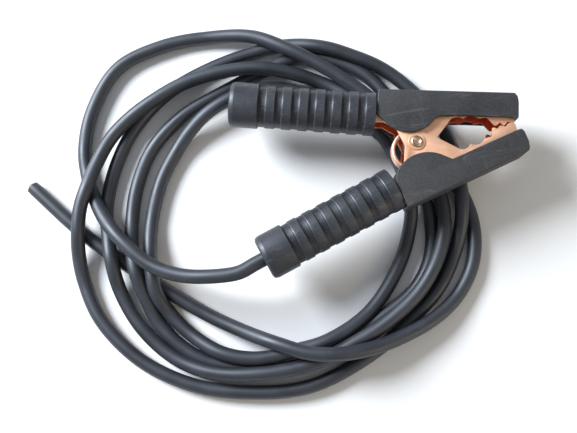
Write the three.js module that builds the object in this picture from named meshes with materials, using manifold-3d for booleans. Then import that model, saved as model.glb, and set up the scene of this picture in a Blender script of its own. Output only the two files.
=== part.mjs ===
// Welding ground clamp with its cable, in millimetres, +Z up.
//
// The clamp lies level on loose turns of its own cable. Inside the clamp group the origin is the
// centre of the pivot, +X points along the middle line towards the jaw tips, +Y towards the upper
// arm and +Z along the pivot. The group is shifted so that the centre of the clamp's box is the origin.

import * as THREE from 'three';
import { mergeVertices } from 'three/addons/utils/BufferGeometryUtils.js';
import Module from 'manifold-3d';

const wasm = await Module();
wasm.setup();

// ---------------------------------------------------------------- driving dimensions

const CLEAR = 0.3; // gap between pieces that touch
const BOX_CENTRE_X = -26.2; // centre of the clamp's box, from the pivot

// Pressed steel arms: two channels, the upper one nested between the walls of the lower one.
const SHEET = 1.5;
const LOWER_HALF = 10.2; // half width over the walls
const UPPER_HALF = LOWER_HALF - SHEET - CLEAR;
const EAR_RADIUS = 8.8; // rounded lobe round the pivot
const WEB_OUT = 6.5; // the handle's web stands this far outside the grip's axis
const CRIMP_DEPTH = 22; // the lower handle ends in a crimped collar on the cable

// Grips: rubber sleeves on straight handles that spread apart.
const GRIP_LENGTH = 106.8;
const COLLAR_RADIUS = 16.8;
const RIB_RADIUS = 16;
const GRIP_SQUASH = 0.94; // thickness over height of the oval
const SPREAD = THREE.MathUtils.degToRad(16.5); // each handle to the middle line
const COLLAR_LENGTH = 21;
const RIBS = 7;
const RIB_PITCH = 12.1;
const GROOVE_WIDTH = 5.2;
const GROOVE_DEPTH = 1.4;

// Moulded jaw covers.
const COVER_WALL = 2.4;
const COVER_HALF = LOWER_HALF + CLEAR + COVER_WALL;
const COVER_ROUND = 1.6;

// Pivot stack.
const SHANK_RADIUS = 3;
const RIVET_DIMPLE = { radius: 2, depth: 1.5 };
const RUNNING_FIT = 0.1;
const WASHER = { radius: 6.1, thickness: 0.8 };
const RIVET_HEAD = { radius: 4.2, height: 1.4 };

// Torsion spring, held by the broad bush inside its coil.
const WIRE = 2.6;
const COIL = { x: -2.6, y: -4, radius: 14.9, halfWidth: 5.2, turns: 3 };
const BUSH_RADIUS = 8.4;
const LEG_DEPTH = 92; // the legs bear on the webs this far from the grip's end

// Cable and the lug that joins it to the lower handle.
const CABLE_DIAMETER = 10.5;
const CONDUCTOR_DIAMETER = 5.6;
const JACKET_DEPTH = 28; // jacket inside the grip
const LUG_BOLT_DEPTH = 56;
const CABLE_STEPS = 80;
const FLOOR_Z = -37.6; // what the cable lies on

// ---------------------------------------------------------------- materials

const paint = (color, roughness, metalness) => new THREE.MeshStandardMaterial({ color, roughness, metalness });
const copperPlate = paint(0xe3ab8b, 0.38, 0.9);
const moulding = paint(0x3c3e40, 0.62, 0);
const rubber = paint(0x2f3033, 0.7, 0);
const jacket = paint(0x2a2b2c, 0.55, 0);
const bareCopper = paint(0xb4693f, 0.45, 0.9);
const steel = paint(0xa79f92, 0.4, 0.9);

// ---------------------------------------------------------------- helpers

/** A closed three.js geometry as a solid. */
function solid(geometry) {
  const bare = geometry.clone();
  bare.deleteAttribute('normal');
  bare.deleteAttribute('uv');
  const merged = mergeVertices(bare, 1e-4);
  const corners = [];
  for (let i = 0; i < merged.index.count; i += 3) {
    const [a, b, c] = [0, 1, 2].map((k) => merged.index.getX(i + k));
    if (a !== b && b !== c && c !== a) corners.push(a, b, c);
  }
  const mesh = new wasm.Mesh({
    numProp: 3,
    vertProperties: new Float32Array(merged.attributes.position.array),
    triVerts: new Uint32Array(corners),
  });
  return new wasm.Manifold(mesh);
}

/** A solid back as a geometry. */
function geometryOf(manifold) {
  const { vertProperties, triVerts } = manifold.getMesh();
  const geometry = new THREE.BufferGeometry();
  geometry.setAttribute('position', new THREE.BufferAttribute(vertProperties, 3));
  geometry.setIndex(new THREE.BufferAttribute(triVerts, 1));
  geometry.computeVertexNormals();
  return geometry;
}

/** A named piece from a geometry or a solid. */
function piece(name, shape, material) {
  const mesh = new THREE.Mesh(shape.getMesh ? geometryOf(shape) : shape, material);
  mesh.name = name;
  return mesh;
}

/**
 * A closed outline from corners [x, y] or [x, y, radius]. A radius makes the stretch before the
 * corner an arc, turning left when positive. side -1 mirrors the outline in the middle line.
 */
function outline(corners, side = 1) {
  const points = [];
  for (const [x, y, radius] of corners) {
    const to = new THREE.Vector2(x, side * y);
    if (radius) points.push(...arc(points.at(-1), to, side * radius));
    points.push(to);
  }
  return new THREE.Shape(points);
}

/** Points between two ends of an arc, one every 20 degrees or less. */
function arc(from, to, radius) {
  const chord = to.clone().sub(from);
  const toCentre = Math.sqrt(radius ** 2 - chord.lengthSq() / 4) * Math.sign(radius);
  const left = new THREE.Vector2(-chord.y, chord.x).normalize();
  const centre = from.clone().addScaledVector(chord, 0.5).addScaledVector(left, toCentre);
  const sweep = 2 * Math.asin(chord.length() / 2 / radius);
  const steps = Math.ceil(Math.abs(sweep) / THREE.MathUtils.degToRad(20));
  const points = [];
  for (let k = 1; k < steps; k++) points.push(from.clone().rotateAround(centre, (sweep * k) / steps));
  return points;
}

/** A flat plate of that outline, from z = -half to +half. */
function plate(shape, half) {
  const options = { depth: 2 * half, bevelEnabled: false };
  return new THREE.ExtrudeGeometry(shape, options).translate(0, 0, -half);
}

/** The same with its edges rounded off. */
function softPlate(shape, half, round) {
  const options = {
    depth: 2 * (half - round),
    bevelThickness: round,
    bevelSize: round,
    bevelOffset: -round,
    bevelSegments: 2,
  };
  return new THREE.ExtrudeGeometry(shape, options).translate(0, 0, round - half);
}

/** A body turned about Y from a closed profile of [radius, y]. */
function turned(profile, segments) {
  const points = profile.map(([r, y]) => new THREE.Vector2(r, y));
  return new THREE.LatheGeometry(points, segments);
}

/** A ring about Y from y0 to y1. */
function ring(inner, outer, y0, y1, segments = 24) {
  return turned([[inner, y0], [outer, y0], [outer, y1], [inner, y1], [inner, y0]], segments);
}

/** A round bar about Y from y0 to y1. */
function bar(radius, y0, y1, segments = 24) {
  return turned([[0, y0], [radius, y0], [radius, y1], [0, y1]], segments);
}

/** A round bar of that diameter along a curve, with flat ends. */
function rope(curve, diameter, steps, sides = 8) {
  const section = new THREE.Shape();
  for (let k = 0; k < sides; k++) {
    const angle = (2 * Math.PI * (k + 0.5)) / sides;
    const at = [(diameter / 2) * Math.cos(angle), (diameter / 2) * Math.sin(angle)];
    if (k === 0) section.moveTo(...at);
    else section.lineTo(...at);
  }
  return new THREE.ExtrudeGeometry(section, { steps, extrudePath: curve });
}

/**
 * A group in a handle's own frame: origin at the centre of the grip's end face, +Y forward along
 * the handle. The outside of the clamp is at -X on the upper handle and +X on the lower one.
 */
function handleFrame({ side, gripEnd }) {
  const group = new THREE.Group();
  group.position.set(gripEnd[0], side * gripEnd[1], 0);
  group.rotation.z = -Math.PI / 2 - side * SPREAD;
  group.updateMatrix();
  return group;
}

/**
 * A point of a handle with y outwards: depth from the grip's end, and distance outside the
 * grip's axis.
 */
function onHandle({ gripEnd }, depth, out) {
  const x = gripEnd[0] + depth * Math.cos(SPREAD) + out * Math.sin(SPREAD);
  const y = gripEnd[1] - depth * Math.sin(SPREAD) + out * Math.cos(SPREAD);
  return [x, y];
}

/** A point a given distance inside a cover's straight outer edge, at that x. */
function underBack({ cover }, x, inset) {
  const [[x0, y0], [x1, y1]] = [cover[0], cover.at(-1)];
  const slope = (y1 - y0) / (x1 - x0);
  return [x, y0 + slope * (x - x0) - inset * Math.hypot(1, slope)];
}

// ---------------------------------------------------------------- arms

// The outlines of the two arms and covers differ a little, so that the front teeth mesh. All of
// them have y outwards.

// Jaw edges from the front corner back to the notch in front of the pivot. The hollows behind the
// teeth hold round bars.
const UPPER_JAW = [
  [74, 2.4], [72.7, -0.8], [70.6, -0.9], [68.3, 1.2], [64.6, -1.5], [62.5, 1.9], [60, 0],
  [58.2, 0.2], [54, 7.6], [48.2, 7.9], [37.3, 9.9, 8], [28.5, 11.6, 7], [15, 0],
];
const LOWER_JAW = [
  [72.5, 6.5], [72.3, 2.2], [71.3, 1.4], [67.8, 0.6], [65.2, 2.7], [61.5, 1], [58.9, 2.9],
  [56.7, 1.4], [55.4, 1.7], [54.7, 5.5], [53.5, 7.5], [48.2, 8.3], [37.4, 9.6, 7.5],
  [28.3, 11.1, 6], [15, 0],
];

// Rear edges of the arms' sides, from the ear at the pivot to the grip's mouth.
const UPPER_REAR = [[-EAR_RADIUS, 0, -EAR_RADIUS], [-11.4, 12.5], [-19.2, 19.6]];
const LOWER_REAR = [[-11.8, -11.4], [-8.7, 0.7], [-10.8, 7.8], [-13.2, 16.2]];

// Sides of the jaw covers: round belly over the pivot, blunt front and straight outer edge.
const UPPER_COVER = [
  [-18.2, 43.7], [-23.9, 26.6], [-20.1, 21.2, 26], [17.4, 14.1, 23], [20.3, 14.7], [41.3, 10.1],
  [71.4, 2.4], [72.6, -0.2], [75.3, 1.4], [78.3, 12.4], [78.7, 17], [77.3, 20],
];
const LOWER_COVER = [
  [-16.6, 45.4], [-21.6, 27], [-19.4, 19.3, 26], [16.2, 14.2, 25], [21.8, 18.1], [72.8, 7],
  [75.3, 6.8], [76.8, 9.3], [78, 16.5], [77.5, 21.6], [76.4, 23.6],
];

// mouth: how far inside the grip's axis the handle's sides reach where they leave the grip.
const UPPER = {
  side: 1,
  half: UPPER_HALF,
  gripEnd: [-126, 59.2],
  mouth: 8,
  jaw: UPPER_JAW,
  rear: UPPER_REAR,
  cover: UPPER_COVER,
};
const LOWER = {
  side: -1,
  half: LOWER_HALF,
  gripEnd: [-124.9, 58.9],
  mouth: 1.5,
  jaw: LOWER_JAW,
  rear: LOWER_REAR,
  cover: LOWER_COVER,
};

/** The side of an arm: jaw, ear at the pivot and tapering handle. */
function armSide(which) {
  const inset = COVER_WALL + CLEAR;
  return [
    onHandle(which, CRIMP_DEPTH, -WEB_OUT),
    onHandle(which, CRIMP_DEPTH, WEB_OUT),
    onHandle(which, GRIP_LENGTH, WEB_OUT),
    underBack(which, -13, inset),
    underBack(which, 74.4, inset),
    ...which.jaw,
    [7, -5.3],
    [0, -EAR_RADIUS, -EAR_RADIUS],
    ...which.rear,
    onHandle(which, GRIP_LENGTH + 0.5, -which.mouth),
  ];
}

/** What is pressed out of an arm to leave its channel open towards the other arm. */
function armHollow(which) {
  const inset = COVER_WALL + CLEAR + SHEET;
  return [
    onHandle(which, CRIMP_DEPTH - 20, WEB_OUT - SHEET),
    onHandle(which, GRIP_LENGTH, WEB_OUT - SHEET),
    underBack(which, -12, inset),
    underBack(which, 90, inset),
    [90, -30],
    [-30, -30],
    onHandle(which, CRIMP_DEPTH - 20, -40),
  ];
}

function arm(which) {
  const { side, half } = which;
  const channel = solid(plate(outline(armSide(which), side), half))
    .subtract(solid(plate(outline(armHollow(which), side), half - SHEET)));
  const pivotHole = bar(SHANK_RADIUS + RUNNING_FIT, -half - 1, half + 1).rotateX(Math.PI / 2);
  return channel.subtract(solid(pivotHole));
}

/** The lower arm ends in a collar crimped round the cable, and is bolted to the cable's lug. */
function lowerArm() {
  const place = handleFrame(LOWER).matrix;
  const grip = CABLE_DIAMETER / 2 + CLEAR;
  const collar = ring(grip, WEB_OUT, CRIMP_DEPTH - 3, CRIMP_DEPTH + 6).applyMatrix4(place);
  const cableWay = bar(grip, CRIMP_DEPTH - 20, CRIMP_DEPTH + 6).applyMatrix4(place);
  const boltHole = bar(3.2, 0, WEB_OUT + 2).rotateZ(-Math.PI / 2).translate(0, LUG_BOLT_DEPTH, 0);
  return arm(LOWER)
    .add(solid(collar))
    .subtract(solid(cableWay))
    .subtract(solid(boltHole.applyMatrix4(place)));
}

// ---------------------------------------------------------------- jaw covers

function jawCover(which, liningHalf) {
  const { side, cover } = which;
  const hollow = [
    underBack(which, -45, COVER_WALL),
    underBack(which, 75.8, COVER_WALL),
    [74.4, -2],
    [74.4, -20],
    [-45, -20],
  ];
  const shell = solid(softPlate(outline(cover, side), COVER_HALF, COVER_ROUND))
    .subtract(solid(plate(outline(hollow, side), COVER_HALF - COVER_WALL)));
  return liningHalf ? shell.add(liningRibs(which, liningHalf)) : shell;
}

/** Upright ribs inside the upper cover that reach in to its narrower arm. */
function liningRibs(which, liningHalf) {
  const outer = COVER_HALF - COVER_WALL / 2;
  let ribs;
  for (const x of [24, 40, 56, 70]) {
    for (const face of [-1, 1]) {
      const rib = new THREE.BoxGeometry(2, 11, outer - liningHalf);
      const y = which.side * (underBack(which, x, 0)[1] - 9);
      rib.translate(x, y, (face * (outer + liningHalf)) / 2);
      ribs = ribs ? ribs.add(solid(rib)) : solid(rib);
    }
  }
  return ribs;
}

// ---------------------------------------------------------------- grips

/** Half section of a sleeve from its end face forward: plain collar, then saw-tooth ribs. */
function gripProfile() {
  const [r, rib] = [COLLAR_RADIUS, RIB_RADIUS];
  const profile = [[0, 0], [r - 3, 0], [r - 0.9, 1], [r, 3.5], [r, COLLAR_LENGTH]];
  for (let i = 0; i < RIBS; i++) {
    const start = COLLAR_LENGTH + 0.5 + i * RIB_PITCH;
    const crest = start + GROOVE_WIDTH;
    profile.push([rib - GROOVE_DEPTH, start], [rib - GROOVE_DEPTH + 0.5, crest], [rib, crest + 0.6]);
    if (i < RIBS - 1) profile.push([rib - 0.1, start + RIB_PITCH - 0.4]);
  }
  profile.push([rib, GRIP_LENGTH - 0.8], [rib - 0.8, GRIP_LENGTH], [0, GRIP_LENGTH]);
  return profile;
}

/** A sleeve in its handle's frame, bored for the handle, the lug bolt's head and the cable. */
function grip({ side, half, mouth }) {
  const outwards = -side;
  const start = 12;
  const length = GRIP_LENGTH - start + 1;
  const reach = Math.max(WEB_OUT, mouth);
  const room = new THREE.BoxGeometry(WEB_OUT + reach + 2 * CLEAR, length, 2 * (half + CLEAR));
  room.translate((outwards * (WEB_OUT - reach)) / 2, start + length / 2, 0);
  const boltRoom = new THREE.BoxGeometry(5.2, length, 13);
  boltRoom.translate(outwards * (WEB_OUT + 2), start + length / 2, 0);
  return solid(turned(gripProfile(), 24).scale(1, 1, GRIP_SQUASH))
    .subtract(solid(room))
    .subtract(solid(boltRoom))
    .subtract(solid(bar(CABLE_DIAMETER / 2 + CLEAR, -1, start + 1)));
}

// ---------------------------------------------------------------- pivot

/** A rivet headed on both sides, with a dimple in each head. */
function pivotRivet() {
  const seat = LOWER_HALF + RUNNING_FIT + WASHER.thickness + RUNNING_FIT;
  const { radius, height } = RIVET_HEAD;
  const rim = RIVET_DIMPLE.radius;
  const floor = seat + height - RIVET_DIMPLE.depth;
  const top = [[SHANK_RADIUS, seat], [radius, seat], [radius, seat + 0.7], [radius - 0.8, seat + height]];
  top.push([rim + 0.6, seat + height], [rim, floor], [0, floor]);
  const bottom = top.map(([r, z]) => [r, -z]).reverse();
  return turned([...bottom, ...top], 24).rotateX(Math.PI / 2);
}

function rivetWasher(face) {
  const near = LOWER_HALF + RUNNING_FIT;
  const washer = ring(SHANK_RADIUS + RUNNING_FIT, WASHER.radius, near, near + WASHER.thickness);
  return washer.rotateX((face * Math.PI) / 2);
}

function pivotBush() {
  const half = UPPER_HALF - SHEET - RUNNING_FIT;
  return ring(SHANK_RADIUS + RUNNING_FIT, BUSH_RADIUS, -half, half).rotateX(Math.PI / 2);
}

// ---------------------------------------------------------------- spring

/** Where a leg of the spring bears on the web of its arm. */
function legEnd(which) {
  const [x, y] = onHandle(which, LEG_DEPTH, WEB_OUT - SHEET - CLEAR - WIRE / 2);
  return new THREE.Vector2(x, which.side * y);
}

/** Angle on the coil at which the straight run to a leg's end leaves it, on the arm's side. */
function legAngle(which) {
  const { x, y } = legEnd(which).sub(new THREE.Vector2(COIL.x, COIL.y));
  return Math.atan2(y, x) - which.side * Math.acos(COIL.radius / Math.hypot(x, y));
}

function torsionSpring() {
  const [from, to] = [legAngle(LOWER), legAngle(UPPER) + 2 * Math.PI * COIL.turns];
  const low = legEnd(LOWER);
  const high = legEnd(UPPER);
  const coil = [];
  const steps = 16 * COIL.turns;
  for (let k = 0; k <= steps; k++) {
    const t = k / steps;
    const angle = from + (to - from) * t;
    const x = COIL.x + COIL.radius * Math.cos(angle);
    const y = COIL.y + COIL.radius * Math.sin(angle);
    coil.push(new THREE.Vector3(x, y, COIL.halfWidth * (2 * t - 1)));
  }
  const leg = (end, foot, z) => [0.25, 0.5, 0.75].map((t) => new THREE.Vector3(
    THREE.MathUtils.lerp(end.x, foot.x, t), THREE.MathUtils.lerp(end.y, foot.y, t), z));
  const wire = [
    new THREE.Vector3(low.x, low.y, -COIL.halfWidth),
    ...leg(low, coil[0], -COIL.halfWidth),
    ...coil,
    ...leg(high, coil.at(-1), COIL.halfWidth).reverse(),
    new THREE.Vector3(high.x, high.y, COIL.halfWidth),
  ];
  return rope(new THREE.CatmullRomCurve3(wire), WIRE, 88);
}

// ---------------------------------------------------------------- cable joint in the lower handle

/** Pieces in the lower handle's frame: +Y is the depth from the cable's exit, +X is outwards. */
function cableJoint() {
  const web = WEB_OUT - SHEET;
  const along = (geometry, x) => geometry.rotateZ(-Math.PI / 2).translate(x, LUG_BOLT_DEPTH, 0);
  const hex = (radius, height) => new THREE.CylinderGeometry(radius, radius, height, 6);

  const conductor = bar(CONDUCTOR_DIAMETER / 2, JACKET_DEPTH + CLEAR, 44, 16);

  const barrel = ring(CONDUCTOR_DIAMETER / 2 + CLEAR, 4.6, 34, 47, 16);
  const tongue = new THREE.BoxGeometry(2.4, 19, 12).translate(web - RUNNING_FIT - 1.2, 54, 0);
  const lug = solid(barrel)
    .add(solid(bar(4.6, 46, 48.5, 16)))
    .add(solid(tongue).subtract(solid(bar(CONDUCTOR_DIAMETER / 2 + CLEAR, 34, 46, 16))))
    .subtract(solid(along(bar(3.2, 0, web + 1), 0)));

  const face = web - RUNNING_FIT - 2.4; // inner face of the tongue
  const shank = bar(3, -6.4, WEB_OUT + 1);
  const head = hex(5.6, 4).translate(0, WEB_OUT + RUNNING_FIT + 2, 0);
  const bolt = solid(along(shank, 0)).add(solid(along(head, 0)));

  const flat = along(ring(3.2, 6, face - 1.3, face - RUNNING_FIT), 0);
  const spring = along(ring(3.2, 5.2, face - 2.9, face - 1.3 - RUNNING_FIT), 0);
  const nut = solid(along(hex(5.6, 4.8), face - 2.9 - RUNNING_FIT - 2.4))
    .subtract(solid(along(bar(3.1, -9, 5), 0)));

  return [
    piece('cable_conductor', conductor, bareCopper),
    piece('cable_lug', lug, bareCopper),
    piece('lug_bolt', bolt, steel),
    piece('lug_flat_washer', flat, steel),
    piece('lug_spring_washer', spring, steel),
    piece('lug_nut', nut, steel),
  ];
}

// ---------------------------------------------------------------- cable

// Route of the cable's middle once it is clear of the grip: x, y, and the height above the floor.
// Five loose turns, clockwise seen from above, which hump over each other where they cross.
const CABLE_ROUTE = [
  // down from the grip over the left side, round the back and under the clamp
  [-140.5, -62.5, 35], [-161.5, -56.5, 31], [-181, -44.5, 28], [-199, -22, 26], [-209, -4, 21],
  [-216, 15, 12], [-220, 35, 6], [-219, 57, 5.5], [-208, 87, 5.5], [-182, 117.5, 5.5],
  [-145, 128, 5.5], [-108, 127.5, 5.5], [-73, 118, 12.5], [-50, 102, 17], [-31, 87, 17],
  [-13, 70, 16], [6, 49, 14.5], [26, 18, 12.5], [38, -14, 12.5], [41, -48.5, 13.3],
  [30.5, -77.5, 15], [10.5, -102, 16], [-19, -120.5, 16.3], [-48, -131, 16.3], [-82, -139, 16],
  [-118, -138, 15.5], [-153, -130, 11], [-178, -115, 6], [-199, -88, 5.5], [-210, -57, 8],
  [-211, -32, 16], [-211, -12, 11], [-210, 8, 5.5], [-198, 38, 5.5], [-177, 67, 5.5],
  [-147, 89, 5.5], [-113, 101, 5.5],
  // second turn, the outermost at the front
  [-78, 107, 5.5], [-50, 107, 8], [-22, 98, 13.5], [0, 86.5, 12], [22.5, 71.5, 8], [43.5, 46, 5.5],
  [57.5, 14.5, 5.5], [59.5, -5, 11], [58, -27, 16], [55, -47, 15.5], [51, -63, 11], [44, -79, 6],
  [27, -102, 5.5], [-4, -125, 5.5], [-39.5, -143, 5.5], [-85, -155, 5.5], [-130, -150, 5.5],
  [-170, -136, 5.5], [-205, -110, 5.5], [-228.5, -75, 5.5], [-236, -45, 5.5], [-236, -25, 9.5],
  [-232, -7, 16],
  // third turn
  [-227, 10, 18], [-219, 25, 19], [-210, 41, 16], [-197, 59, 13], [-181, 71, 14],
  [-160, 81, 16], [-130, 91, 16], [-91, 93, 16], [-68, 89, 16], [-49, 82, 13], [-30, 73, 7.5],
  [-12, 58, 8.5], [0, 38, 15.5], [10, 14, 16], [17, -12, 16], [18.5, -38.5, 10], [13, -58, 5.5],
  [-2, -83.5, 5.5], [-30.5, -111, 8], [-65.5, -125, 14.5], [-90, -127, 14], [-118, -127, 14],
  [-143, -118, 12.5], [-164, -99.5, 6.5], [-176.5, -81, 6.5], [-183, -64, 14], [-183, -47, 16],
  [-182, -30, 10], [-178, -10, 5.5], [-165, 20, 5.5],
  // fourth turn, the innermost
  [-149, 41, 6], [-135, 54, 9.5], [-117, 65, 14], [-92, 73, 14.5], [-65, 74, 9.5],
  [-38, 64, 5.5], [-10, 43, 5.5], [14, 14, 5.5], [27, -14, 5.5], [31.5, -48, 5.5], [24.5, -79.5, 5.5],
  [7, -101.5, 5.5], [-28, -119, 5.5], [-85, -136, 5.5], [-125, -133, 5.5], [-162, -117, 5.5],
  [-185.5, -88.5, 5.5], [-192, -65, 10.5], [-195, -44, 16], [-195, -27, 12], [-193, -8, 6],
  [-184, 20, 5.5],
  // fifth turn, out to the cut end
  [-167, 47, 5.5], [-139, 68, 5.5], [-106, 80, 5.5], [-68, 91, 5.5], [-41, 96, 5.5],
  [-17, 89, 5.5], [10, 68.5, 5.5], [34, 19, 5.5], [56, -26, 5.5], [62, -60, 5.5], [55, -90, 5.5],
  [38, -112, 6], [14, -126, 11], [-14, -134, 16], [-38, -137, 22], [-59, -136, 25.5],
  [-80, -131, 26], [-101, -120, 22], [-124, -106, 11.5], [-150, -87, 5.5], [-191, -49, 5.5],
  [-228.5, -10, 5.5], [-263.5, 37, 5.5],
];

/** The middle line of the cable, from inside the grip to the cut end. */
function cableRoute() {
  const inGrip = [JACKET_DEPTH, 4, -8, -20].map((depth) => {
    const [x, y] = onHandle(LOWER, depth, 0);
    return new THREE.Vector3(x - BOX_CENTRE_X, -y, 0);
  });
  const free = CABLE_ROUTE.map(([x, y, height]) => new THREE.Vector3(x, y, FLOOR_Z + height));
  return new THREE.CatmullRomCurve3([...inGrip, ...free]);
}

/** The insulated cable, and the end of its conductor that the cut end shows. */
function cable() {
  const route = cableRoute();
  const end = route.getPointAt(1);
  const stub = new THREE.Mesh(bar(CONDUCTOR_DIAMETER / 2, CLEAR, 2.5, 12), bareCopper);
  stub.name = 'conductor_end';
  stub.position.copy(end);
  stub.quaternion.setFromUnitVectors(new THREE.Vector3(0, 1, 0), route.getTangentAt(1));
  return [piece('cable', rope(route, CABLE_DIAMETER, CABLE_STEPS), jacket), stub];
}

// ---------------------------------------------------------------- assembly

function upperArmGroup() {
  const group = new THREE.Group();
  const handle = handleFrame(UPPER);
  handle.add(piece('upper_grip', grip(UPPER), rubber));
  group.add(
    piece('upper_arm', arm(UPPER), copperPlate),
    piece('upper_jaw_cover', jawCover(UPPER, UPPER_HALF + CLEAR), moulding),
    handle,
  );
  return group;
}

function lowerArmGroup() {
  const group = new THREE.Group();
  const handle = handleFrame(LOWER);
  handle.add(piece('lower_grip', grip(LOWER), rubber), ...cableJoint());
  group.add(
    piece('lower_arm', lowerArm(), copperPlate),
    piece('lower_jaw_cover', jawCover(LOWER), moulding),
    piece('pivot_rivet', pivotRivet(), steel),
    piece('rivet_washer_top', rivetWasher(1), copperPlate),
    piece('rivet_washer_bottom', rivetWasher(-1), copperPlate),
    piece('pivot_bush', pivotBush(), steel),
    piece('torsion_spring', torsionSpring(), copperPlate),
    handle,
  );
  return group;
}

const clamp = new THREE.Group();
clamp.position.x = -BOX_CENTRE_X;
clamp.add(lowerArmGroup(), upperArmGroup());

const groundClamp = new THREE.Group();
groundClamp.add(clamp, ...cable());

export default groundClamp;
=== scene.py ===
"""Looks of the welding ground clamp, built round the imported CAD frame.

Shapes are modelled in millimetres from the pivot, as in the CAD source, and `piece` turns them into
metres in the frame. The cable is in metres from the start.
"""

import math
import random

import bmesh
import bpy
from mathutils import Matrix, Vector


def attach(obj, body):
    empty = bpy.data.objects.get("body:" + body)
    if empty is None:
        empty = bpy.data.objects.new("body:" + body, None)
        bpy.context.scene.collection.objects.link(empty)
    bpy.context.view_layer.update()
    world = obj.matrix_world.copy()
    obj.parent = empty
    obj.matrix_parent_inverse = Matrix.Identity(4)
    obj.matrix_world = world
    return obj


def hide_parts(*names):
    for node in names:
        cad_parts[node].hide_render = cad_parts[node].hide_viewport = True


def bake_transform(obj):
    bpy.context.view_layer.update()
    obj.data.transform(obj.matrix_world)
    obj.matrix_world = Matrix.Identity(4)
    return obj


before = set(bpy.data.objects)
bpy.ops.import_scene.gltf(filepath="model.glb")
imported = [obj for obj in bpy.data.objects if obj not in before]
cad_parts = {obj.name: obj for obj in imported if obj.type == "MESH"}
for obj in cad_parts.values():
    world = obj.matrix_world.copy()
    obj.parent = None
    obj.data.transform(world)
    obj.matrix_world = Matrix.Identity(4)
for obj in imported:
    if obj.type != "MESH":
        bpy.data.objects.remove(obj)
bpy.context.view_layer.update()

# ---------------------------------------------------------------- driving dimensions
# They follow the CAD's. The coil's radius, the depth of the grooves, the rounding of the covers and
# the front ends of the sleeves differ a little from it, to come closer to the photograph.

MM = 0.001
PIVOT_X = 26.2  # the pivot, from the frame's origin
CLAMP = Matrix.Translation((PIVOT_X, 0, 0))
CLEAR = 0.3  # gap between pieces that touch
RUNNING_FIT = 0.1  # gap between pieces that turn on each other

# Arms: pressed channels.
SHEET = 1.5
LOWER_HALF = 10.2  # half width over the walls
UPPER_HALF = LOWER_HALF - SHEET - CLEAR
EAR_RADIUS = 8.8  # rounded lobe round the pivot
EAR_FRONT = (7, -5.3)  # where the lobe meets the jaw's inner edge
WEB_OUT = 6.5  # the handle's web stands this far outside the grip's axis
WEB_KNEE_X = -13  # where the web leaves the handle's line for the cover's
JAW_TIP_X = 74.4  # front end of the webs, and of the room inside the covers
BEND = 2.2  # outer radius where a web turns into a wall
SHEET_EDGE = 0.22  # rounding of the sheet's cut edges
CRIMP_DEPTH = 22  # the channels start this far from the grip's end

# Grips: oval ribbed sleeves.
GRIP_LENGTH = 106.8
SPREAD = math.radians(16.5)  # each handle to the middle line
GRIP_SQUASH = 0.94  # thickness over height of the oval
END_WALL = 12  # thickness of the closed end, which the cable goes through
COLLAR_RADIUS = 16.8
COLLAR_LENGTH = 21
RIB_RADIUS = 16
RIBS = 7
FIRST_GROOVE = COLLAR_LENGTH + 0.5
RIB_PITCH = 12.1
GROOVE_WIDTH = 5.2
GROOVE_DEPTH = 2.3  # on the broad faces; much shallower at the sides
GROOVE_LEAST = 0.3  # share of that depth that is left at the narrow sides
PARTING_LINE_TURN = 14  # degrees from the middle of the broad face
PARTING_LINE_RADIUS = 0.14
PARTING_LINE_LENGTH = 4.6  # on each rib

# Jaw covers.
COVER_WALL = 2.4
COVER_HALF = LOWER_HALF + CLEAR + COVER_WALL
COVER_ROUND = 0.9
ROOM_REAR_X, ROOM_FRONT_X = -45, 75.8  # room for the arm inside a cover, along its outer edge
ROOM_RIM_Y = -2  # y of the front wall's rim
ROOM_OPEN_Y = -20  # well past the open side

# Pivot and spring.
SHANK_RADIUS = 3
RIVET_HEAD_RADIUS, RIVET_HEAD_HEIGHT = 4.2, 1.4
RIVET_DIMPLE_RADIUS, RIVET_DIMPLE_DEPTH = 2, 1.5
WASHER_RADIUS, WASHER_THICKNESS = 6.1, 0.8
BUSH_RADIUS = 8.4
WIRE = 2.6
COIL_X, COIL_Y = -2.6, -4
COIL_RADIUS, COIL_HALF_WIDTH, COIL_TURNS = 14.3, 5.2, 3
LEG_DEPTH = 92  # the legs bear on the webs this far from the grip's end

# Cable, in metres.
CABLE_DIAMETER = 0.0105
CONDUCTOR_DIAMETER = 0.0056
STRAND_RADIUS = 0.00031
STRAND_RINGS = 9
STRAND_BURIED = 0.008  # how far a strand reaches back into the jacket
STRAND_STICKS_OUT = (0.0013, 0.0024)  # least and most
JACKET_DEPTH = 0.028  # jacket inside the grip
PATH_STEP = 0.004  # between points of the cable's middle line
FLOOR_Z = -0.0376  # what the cable lies on
LYING = 0.0055  # height of the cable's middle where it lies on the floor

# Jaw edges from the front corner back to the notch in front of the pivot, y outwards.
UPPER_JAW = [
    (74, 2.4), (72.7, -0.8), (70.6, -0.9), (68.3, 1.2), (64.6, -1.5), (62.5, 1.9), (60, 0),
    (58.2, 0.2), (54, 7.6), (48.2, 7.9), (37.3, 9.9, 8), (28.5, 11.6, 7), (15, 0),
]
LOWER_JAW = [
    (72.5, 6.5), (72.3, 2.2), (71.3, 1.4), (67.8, 0.6), (65.2, 2.7), (61.5, 1), (58.9, 2.9),
    (56.7, 1.4), (55.4, 1.7), (54.7, 5.5), (53.5, 7.5), (48.2, 8.3), (37.4, 9.6, 7.5),
    (28.3, 11.1, 6), (15, 0),
]

# Rear edges of the arms' sides, from the ear at the pivot to the grip's mouth.
UPPER_REAR = [(-EAR_RADIUS, 0, -EAR_RADIUS), (-11.4, 12.5), (-19.2, 19.6)]
LOWER_REAR = [(-11.8, -11.4), (-8.7, 0.7), (-10.8, 7.8), (-13.2, 16.2)]

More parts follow.
